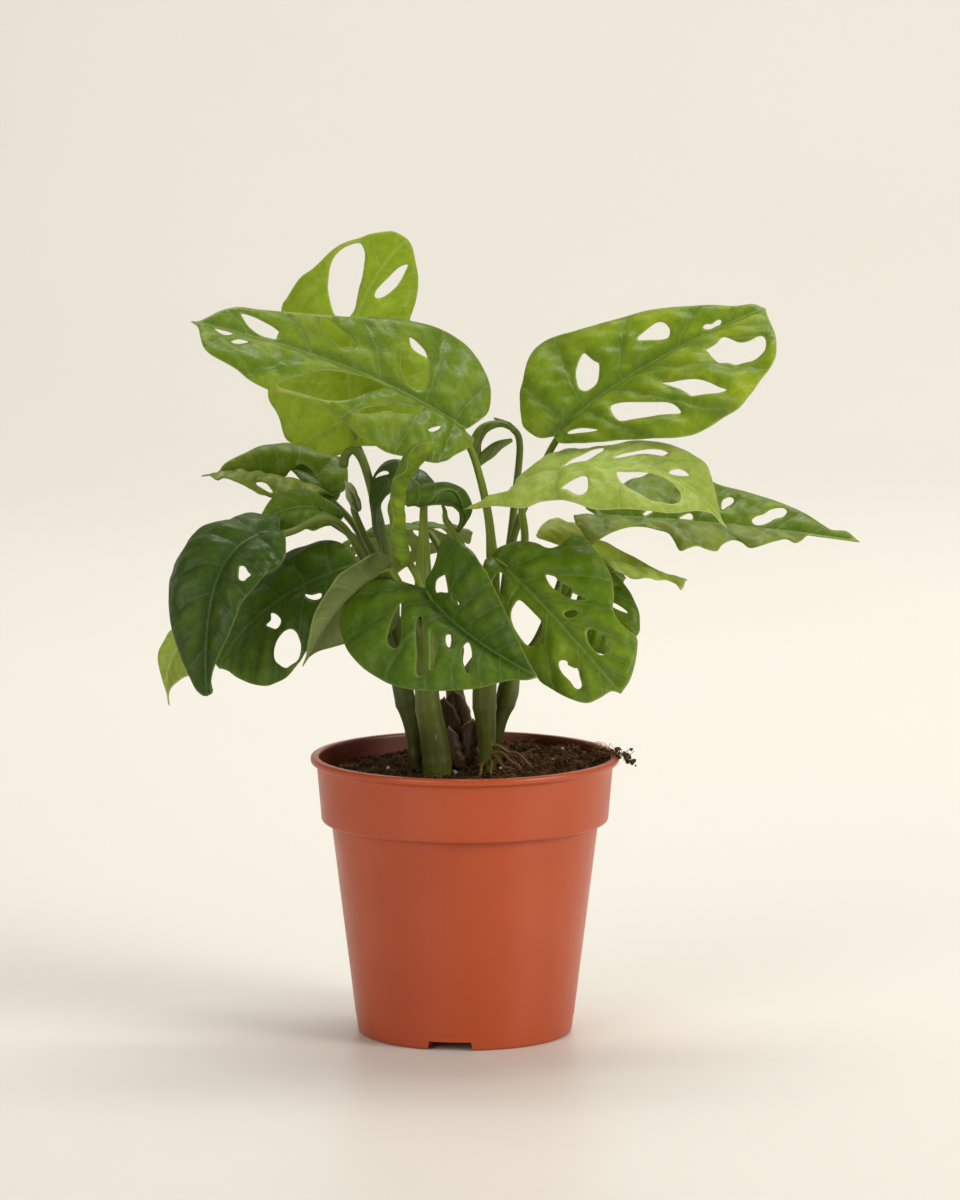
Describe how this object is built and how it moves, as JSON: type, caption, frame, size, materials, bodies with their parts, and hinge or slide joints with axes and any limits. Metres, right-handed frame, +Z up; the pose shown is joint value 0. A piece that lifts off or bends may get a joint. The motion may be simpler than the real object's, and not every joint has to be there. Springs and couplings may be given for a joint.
{
  "type": "potted monstera adansonii",
  "caption": "Leafy vine with heart-shaped, holed leaves on several stems, growing from soil in a tapered plastic nursery pot.",
  "frame": {"origin": "centre of the pot's underside, on the surface that it stands on", "axes": "+Z up along the pot's axis, -Y towards the plant's front, +X to the front view's right"},
  "size_m": [0.2775, 0.165, 0.3088],
  "materials": {
    "pot": "satin",
    "soil": "matte",
    "leaf_top_left": "satin",
    "leaf_top_back": "satin",
    "leaf_top_right": "satin",
    "leaf_right_pale": "satin",
    "leaf_far_right": "satin",
    "leaf_right_narrow": "satin",
    "leaf_front": "satin",
    "leaf_front_right": "satin",
    "leaf_right_behind": "satin",
    "leaf_left_front": "satin",
    "leaf_left_middle": "satin",
    "leaf_left_low": "satin",
    "leaf_centre_left": "satin",
    "leaf_left_back": "satin",
    "leaf_left_small": "satin",
    "leaf_centre_upright": "satin",
    "leaf_centre_curled": "satin",
    "leaf_top_curl": "satin",
    "leaf_centre_back": "satin",
    "leaf_rolled": "satin",
    "leaf_rear_left": "satin",
    "leaf_rear_right": "satin",
    "dry_sheath_left": "matte",
    "dry_sheath_right": "matte",
    "shoot_left": "satin",
    "shoot_back_left": "satin",
    "shoot_right": "satin",
    "shoot_back_right": "satin",
    "shoot_rear": "satin"
  },
  "bodies": {
    "root": {"pot": "pot", "soil": "soil", "leaf_top_left": "leaf_top_left", "leaf_top_back": "leaf_top_back", "leaf_top_right": "leaf_top_right", "leaf_right_pale": "leaf_right_pale", "leaf_far_right": "leaf_far_right", "leaf_right_narrow": "leaf_right_narrow", "leaf_front": "leaf_front", "leaf_front_right": "leaf_front_right", "leaf_right_behind": "leaf_right_behind", "leaf_left_front": "leaf_left_front", "leaf_left_middle": "leaf_left_middle", "leaf_left_low": "leaf_left_low", "leaf_centre_left": "leaf_centre_left", "leaf_left_back": "leaf_left_back", "leaf_left_small": "leaf_left_small", "leaf_centre_upright": "leaf_centre_upright", "leaf_centre_curled": "leaf_centre_curled", "leaf_top_curl": "leaf_top_curl", "leaf_centre_back": "leaf_centre_back", "leaf_rolled": "leaf_rolled", "leaf_rear_left": "leaf_rear_left", "leaf_rear_right": "leaf_rear_right", "dry_sheath_left": "dry_sheath_left", "dry_sheath_right": "dry_sheath_right", "shoot_left": "shoot_left", "shoot_back_left": "shoot_back_left", "shoot_right": "shoot_right", "shoot_back_right": "shoot_back_right", "shoot_rear": "shoot_rear"}
  },
  "joints": []
}
